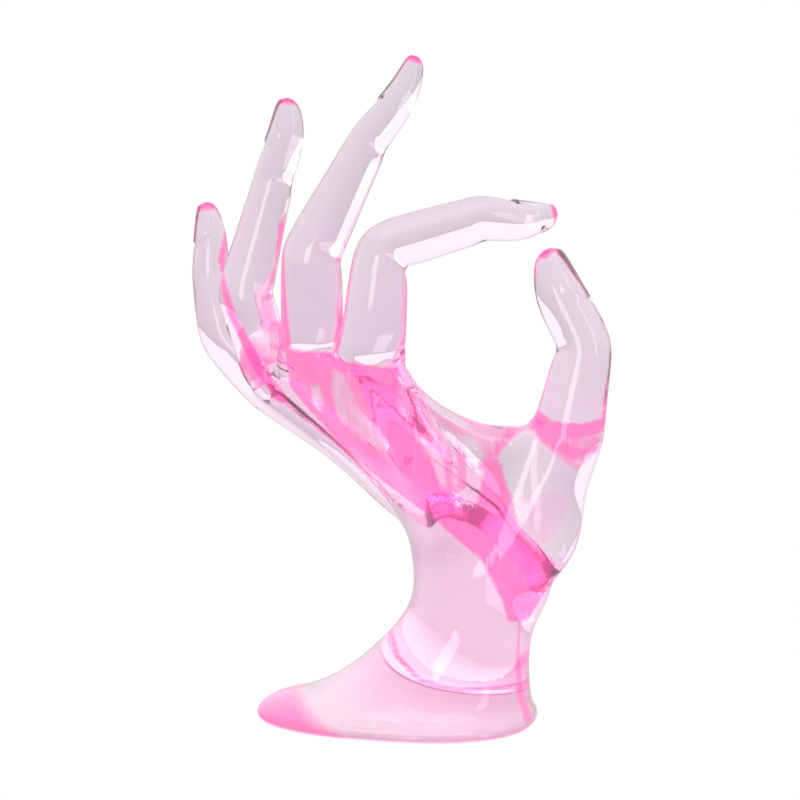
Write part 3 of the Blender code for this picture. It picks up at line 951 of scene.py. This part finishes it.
class ShaderGroup(NodeBoard):
    """One shader node group with named sockets."""

    def __init__(self, name: str) -> None:
        """Start the group with its two end nodes."""
        super().__init__(bpy.data.node_groups.new(name, "ShaderNodeTree"))
        self.entry = self.add("NodeGroupInput")
        self.exit = self.add("NodeGroupOutput")

    def socket(self, name: str, kind: str, default: object = None, out: bool = False) -> None:
        """Add a named socket.

        Args:
            name: The socket's name.
            kind: Float, Color or Vector.
            default: The value of an input that nothing feeds.
            out: Whether it is an output.
        """
        made = self.tree.interface.new_socket(name, in_out="OUTPUT" if out else "INPUT",
                                              socket_type=f"NodeSocket{kind}")
        if default is not None:
            made.default_value = default


def colour_ramp(board: NodeBoard, value: Socket, places: tuple[float, ...],
                colours: tuple[Colour, ...]) -> Socket:
    """Turn a value into a colour.

    Args:
        board: The nodes that the ramp belongs to.
        value: The value, from 0 to 1.
        places: The place of each of the ramp's stops.
        colours: The colour of each stop.

    Returns:
        The socket with the colour.
    """
    ramp = board.add("ShaderNodeValToRGB", {"Fac": value})
    stops = ramp.color_ramp.elements
    stops[0].position, stops[-1].position = places[0], places[-1]
    for place in places[1:-1]:
        stops.new(place)
    for stop, colour in zip(stops, colours):
        stop.color = (*colour, 1.0)
    return ramp.outputs["Color"]


def flow_marks_group() -> bpy.types.ShaderNodeTree:
    """Swirls that the resin's flow leaves: a drawn-out noise, with a scale and a twist.

    Returns:
        The node group, with the output Swirl from 0 to 1.
    """
    group = ShaderGroup("flow_marks")
    group.socket("Scale", "Float", 60.0)
    group.socket("Twist", "Float", 1.5)
    group.socket("Swirl", "Float", out=True)
    place = group.add("ShaderNodeTexCoord").outputs["Object"]
    turn = group.add("ShaderNodeMapping", {"Vector": place, "Scale": FLOW_STRETCH,
                                           "Rotation": (0.0, math.radians(FLOW_TURN), 0.0)})
    noise = group.add("ShaderNodeTexNoise", {
        "Vector": turn.outputs["Vector"], "Scale": group.entry.outputs["Scale"],
        "Distortion": group.entry.outputs["Twist"], "Detail": 2.0, "Roughness": 0.62})
    group.fill(group.exit, {"Swirl": noise.outputs["Fac"]})
    return group.tree


@dataclass(frozen=True)
class TintedResin:
    """Clear cast resin, pale pink in its depth and with a faint painted glow there, with a hot pink tint
    where the skin's mask puts it, a painted pink glow where the tint gathers, and painted shade where the
    resin is seen edge-on.
    """

    clear: Colour = (1.0, 1.0, 1.0)
    pale_pink: Colour = (1.0, 0.4, 0.62)
    pink: Colour = (1.0, 0.1, 0.33)
    tint_steps: tuple[float, float, float] = (0.15, 0.42, 0.9)
    # painted glow: the tinted places, the fingertips and the thumb side give off pink light of their own
    tint_painted_glow: Colour = (0.3, 0.045, 0.16)
    ior: float = 1.49
    roughness: float = 0.05
    ground_roughness: float = 0.7
    absorption: Colour = (1.0, 0.02, 0.64)
    density: float = 11.0
    depth_glow: Colour = (0.92, 0.54, 0.72)
    depth_strength: float = 4.2
    # painted shade: rim is the dark grey-mauve that the colour turns to where the resin is seen edge-on
    rim: Colour = (0.34, 0.26, 0.30)
    edge_shade_share: float = 0.8
    edge_shade_reach: tuple[float, float] = (0.52, 0.95)
    swirl_scale: float = 120.0
    swirl_gain: float = 5.0
    swirl_shift: float = -2.2
    ripple_height: float = 0.00015

    def material(self, flow: bpy.types.ShaderNodeTree) -> bpy.types.Material:
        """Build the material.

        Args:
            flow: The flow marks group.

        Returns:
            The resin's material.
        """
        material = bpy.data.materials.new("pink_clear_resin")
        material.use_nodes = True
        board = NodeBoard(material.node_tree)
        group = board.add("ShaderNodeGroup", {"Scale": self.swirl_scale}, node_tree=flow)
        swirl, ripple = group.outputs["Swirl"], board.mask(SkinMask.RIPPLE)
        tint = self.gathered_tint(board, swirl, ripple)
        bump = board.add("ShaderNodeBump", {"Height": board.math("MULTIPLY", swirl, ripple),
                                            "Distance": self.ripple_height, "Strength": 1.0})
        board.fill(board.tree.nodes["Principled BSDF"], {
            "Base Color": self.edge_shaded(board, tint),
            "Metallic": 0.0,
            "Roughness": board.map_range(Value=board.mask(SkinMask.GROUND), To_Min=self.roughness,
                                         To_Max=self.ground_roughness),
            "IOR": self.ior,
            "Transmission Weight": 1.0,
            "Normal": bump.outputs["Normal"],
            # painted glow: the tint's strength makes the resin give off pink light where it gathers
            "Emission Color": board.blend(tint, BLACK, (*self.tint_painted_glow, 1.0)),
            "Emission Strength": 1.0,
        })
        board.fill(board.tree.nodes["Material Output"], {"Volume": self.inside(board)})
        return material

    def gathered_tint(self, board: NodeBoard, swirl: Socket, ripple: Socket) -> Socket:
        """The tint mask squared, and broken up by the swirls where the skin ripples. It sets both the pink
        colour and the painted pink glow.

        Args:
            board: The resin's nodes.
            swirl: The flow marks.
            ripple: The mask that says where they show.

        Returns:
            The socket with the tint's strength.
        """
        tint = board.mask(SkinMask.TINT_AND_GLOW)
        wander = board.math("MULTIPLY_ADD", swirl, self.swirl_gain, self.swirl_shift)
        gathered = board.math("MULTIPLY_ADD", wander, ripple, 1.0)
        return board.math("MULTIPLY", gathered, board.math("MULTIPLY", tint, tint))

    def edge_shaded(self, board: NodeBoard, tint: Socket) -> Socket:
        """The resin's colour by its tint, with painted shade where the resin is seen edge-on.

        Args:
            board: The resin's nodes.
            tint: The tint's strength.

        Returns:
            The socket with the colour.
        """
        colour = colour_ramp(board, tint, self.tint_steps, (self.clear, self.pale_pink, self.pink))
        # painted shade: the colour darkens towards the rim colour as the resin turns edge-on
        grazing = board.add("ShaderNodeLayerWeight").outputs["Facing"]
        rim = board.map_range(Value=grazing, From_Min=self.edge_shade_reach[0], From_Max=self.edge_shade_reach[1],
                              To_Max=self.edge_shade_share)
        return board.blend(rim, colour, (*self.rim, 1.0))

    def inside(self, board: NodeBoard) -> Socket:
        """The pink absorption and the faint light in the resin's depth.

        Args:
            board: The resin's nodes.

        Returns:
            The socket with both.
        """
        volume = board.add("ShaderNodeVolumeAbsorption", {"Color": (*self.absorption, 1.0),
                                                          "Density": self.density})
        depth = board.add("ShaderNodeEmission", {"Color": (*self.depth_glow, 1.0),
                                                 "Strength": self.depth_strength})
        both = board.add("ShaderNodeAddShader", {0: volume.outputs["Volume"],
                                                 1: depth.outputs["Emission"]})
        return both.outputs["Shader"]


def camera_sees(board: NodeBoard, around: Socket, straight: Socket) -> Socket:
    """One shader for what the camera sees straight on, and another for all the light around.

    Args:
        board: The nodes that both belong to.
        around: The shader for light, reflections and what shows through the resin.
        straight: The shader for the camera.

    Returns:
        The socket with the mix of both.
    """
    seen = board.add("ShaderNodeLightPath").outputs["Is Camera Ray"]
    return board.add("ShaderNodeMixShader", {0: seen, 1: around, 2: straight}).outputs["Shader"]


@dataclass(frozen=True)
class PaleFloor:
    """Seamless studio floor: pure white to the camera, with a painted pool of light that is palest near the
    stand, and a painted glow under it.
    """

    size: float = 6.0
    sink: float = 0.0002
    roughness: float = 0.9
    # painted pool of light: near is the paler colour under the stand and far the greyer one further off
    near: Colour = (0.72, 0.70, 0.72)
    far: Colour = (0.645, 0.62, 0.645)
    lit_reach: float = 0.55
    # painted glow: the floor gives off light under the stand, standing in for light that comes through the
    # resin
    glow_colour: Colour = (0.75, 1.0, 0.82)
    glow: float = 0.8
    glow_reach: float = 0.055
    glow_edge: float = 0.75

    @staticmethod
    def falloff(board: NodeBoard, reach: float) -> Socket:
        """A value that falls from 1 under the stand to 0 at a reach.

        Args:
            board: The floor's nodes.
            reach: The distance in metres at which it is 0.

        Returns:
            The socket with the value.
        """
        place = board.add("ShaderNodeTexCoord").outputs["Object"]
        scale = board.add("ShaderNodeMapping", {"Vector": place, "Scale": (1.0 / reach,) * 3})
        fall = board.add("ShaderNodeTexGradient", {"Vector": scale.outputs["Vector"]},
                         gradient_type="SPHERICAL")
        return fall.outputs["Fac"]

    def material(self) -> bpy.types.Material:
        """Build the floor's material."""
        material = bpy.data.materials.new("floor_white")
        material.use_nodes = True
        board = NodeBoard(material.node_tree)
        shader = board.tree.nodes["Principled BSDF"]
        board.fill(shader, {
            "Base Color": board.blend(self.falloff(board, self.lit_reach), (*self.far, 1.0),
                                      (*self.near, 1.0)),
            "Roughness": self.roughness,
            "Specular IOR Level": 0.0,
            "Emission Color": (*self.glow_colour, 1.0),
            "Emission Strength": board.map_range(Value=self.falloff(board, self.glow_reach),
                                                 From_Max=self.glow_edge, To_Max=self.glow),
        })
        white = board.add("ShaderNodeEmission", {"Color": WHITE})
        mix = camera_sees(board, shader.outputs["BSDF"], white.outputs["Emission"])
        board.fill(board.tree.nodes["Material Output"], {"Surface": mix})
        return material

    def build(self) -> bpy.types.Object:
        """Lay the floor and mark it as stage."""
        half = self.size / 2.0
        mesh = bpy.data.meshes.new("studio_floor")
        corners = [(-half, -half, 0.0), (half, -half, 0.0), (half, half, 0.0), (-half, half, 0.0)]
        mesh.from_pydata(corners, [], [(0, 1, 2, 3)])
        floor = bpy.data.objects.new("studio_floor", mesh)
        floor.location.z = -self.sink
        bpy.context.scene.collection.objects.link(floor)
        mesh.materials.append(self.material())
        return floor


@dataclass(frozen=True)
class SoftLight:
    """One softbox, aimed at the middle of the hand."""

    name: str
    azimuth: float
    elevation: float
    distance: float
    width: float
    height: float
    power: float

    def build(self, target: Vector) -> None:
        """Place the softbox and aim it.

        Args:
            target: The point that it faces.
        """
        lamp = bpy.data.lights.new(self.name, "AREA")
        lamp.shape = "RECTANGLE"
        lamp.size, lamp.size_y = self.width, self.height
        lamp.energy = self.power
        azimuth, elevation = math.radians(self.azimuth), math.radians(self.elevation)
        level = math.cos(elevation)
        way = Vector((math.sin(azimuth) * level, -math.cos(azimuth) * level, math.sin(elevation)))
        place = way * self.distance
        holder = bpy.data.objects.new(self.name, lamp)
        holder.location = target + place
        holder.rotation_euler = (-place).to_track_quat("-Z", "Y").to_euler()
        bpy.context.scene.collection.objects.link(holder)


@dataclass(frozen=True)
class Room:
    """The studio around the stand: pure white to the camera, and bands of grey and white to the resin.

    The bands run from the front to the back: front, dark, rim and backdrop.
    """

    front: Colour = (0.85, 0.85, 0.85)
    dark: Colour = (0.74, 0.74, 0.74)
    rim: Colour = (1.0, 1.0, 1.0)
    backdrop: Colour = (1.04, 1.0, 1.05)
    band_ends: tuple[float, ...] = (0.0, 0.32, 0.40, 0.46, 0.52, 0.58, 0.64, 1.0)

    def build(self) -> None:
        """Set the world's shader."""
        world = bpy.data.worlds.new("studio_room")
        bpy.context.scene.world = world
        world.use_nodes = True
        board = NodeBoard(world.node_tree)
        board.tree.nodes.clear()
        place = board.add("ShaderNodeTexCoord").outputs["Generated"]
        split = board.add("ShaderNodeSeparateXYZ", {"Vector": place})
        share = board.math("MULTIPLY_ADD", split.outputs["Y"], 0.5, 0.5)
        bands = (self.front, self.dark, self.rim, self.backdrop)
        colour = colour_ramp(board, share, self.band_ends,
                             tuple(band for band in bands for _ in range(2)))
        around = board.add("ShaderNodeBackground", {"Color": colour})
        straight = board.add("ShaderNodeBackground", {"Color": WHITE})
        mix = camera_sees(board, around.outputs["Background"], straight.outputs["Background"])
        board.add("ShaderNodeOutputWorld", {"Surface": mix})


@dataclass(frozen=True)
class ProductCamera:
    """A long lens a metre away, looking down a little, as the photograph does."""

    target: tuple[float, float, float] = (0.0007, 0.0, 0.0774)
    distance: float = 1.0
    elevation: float = 11.0
    view_width: float = 0.1892
    sensor: float = 36.0
    clip_end: float = 20.0

    def build(self) -> None:
        """Make the camera and set it as the scene's."""
        data = bpy.data.cameras.new("product_camera")
        data.sensor_width = self.sensor
        data.lens = self.sensor * self.distance / self.view_width
        data.clip_end = self.clip_end
        elevation = math.radians(self.elevation)
        away = Vector((0.0, -math.cos(elevation), math.sin(elevation))) * self.distance
        camera = bpy.data.objects.new("product_camera", data)
        camera.location = Vector(self.target) + away
        camera.rotation_euler = (-away).to_track_quat("-Z", "Y").to_euler()
        bpy.context.scene.collection.objects.link(camera)
        bpy.context.scene.camera = camera


@dataclass
class Studio:
    """Floor, room, lights and camera."""

    floor: PaleFloor = PaleFloor()
    room: Room = Room()
    camera: ProductCamera = ProductCamera()
    lights: tuple[SoftLight, ...] = (
        SoftLight("left_box", -20.0, 0.0, 1.4, 0.46, 0.8, 5.0),
        SoftLight("right_strip", 50.0, 15.0, 1.5, 0.25, 1.2, 2.4),
        SoftLight("top_box", 0.0, 80.0, 1.4, 1.2, 1.0, 4.0),
    )

    def build(self) -> None:
        """Set the whole studio up."""
        self.floor.build()
        self.room.build()
        for light in self.lights:
            light.build(Vector(self.camera.target))
        self.camera.build()
        view = bpy.context.scene.view_settings
        view.view_transform = "Standard"
        view.look = "None"
        LOG.info("studio: %d softboxes", len(self.lights))


@dataclass
class HandStand:
    """The stand itself: one casting of tinted resin."""

    form: HandForm = field(default_factory=HandForm)
    finish: TintedResin = TintedResin()
    node: str = "hand_stand"

    def build(self) -> bpy.types.Object:
        """Cast the hand, dress it and let it stand for its solid."""
        mesh = HandSkin(self.form).build()
        piece = bpy.data.objects.new("hand_casting", mesh)
        bpy.context.scene.collection.objects.link(piece)
        mesh.materials.clear()
        mesh.materials.append(self.finish.material(flow_marks_group()))
        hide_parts(self.node)
        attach(piece, "root")
        digits = ", ".join(digit.name for digit in self.form.digits)
        LOG.info("%s: %d faces, with %s", piece.name, len(mesh.polygons), digits)
        return piece


def main() -> None:
    """Build the stand and its studio."""
    logging.basicConfig(level=logging.INFO, format="%(name)s: %(message)s")
    HandStand().build()
    Studio().build()


if __name__ == "__main__":
    main()
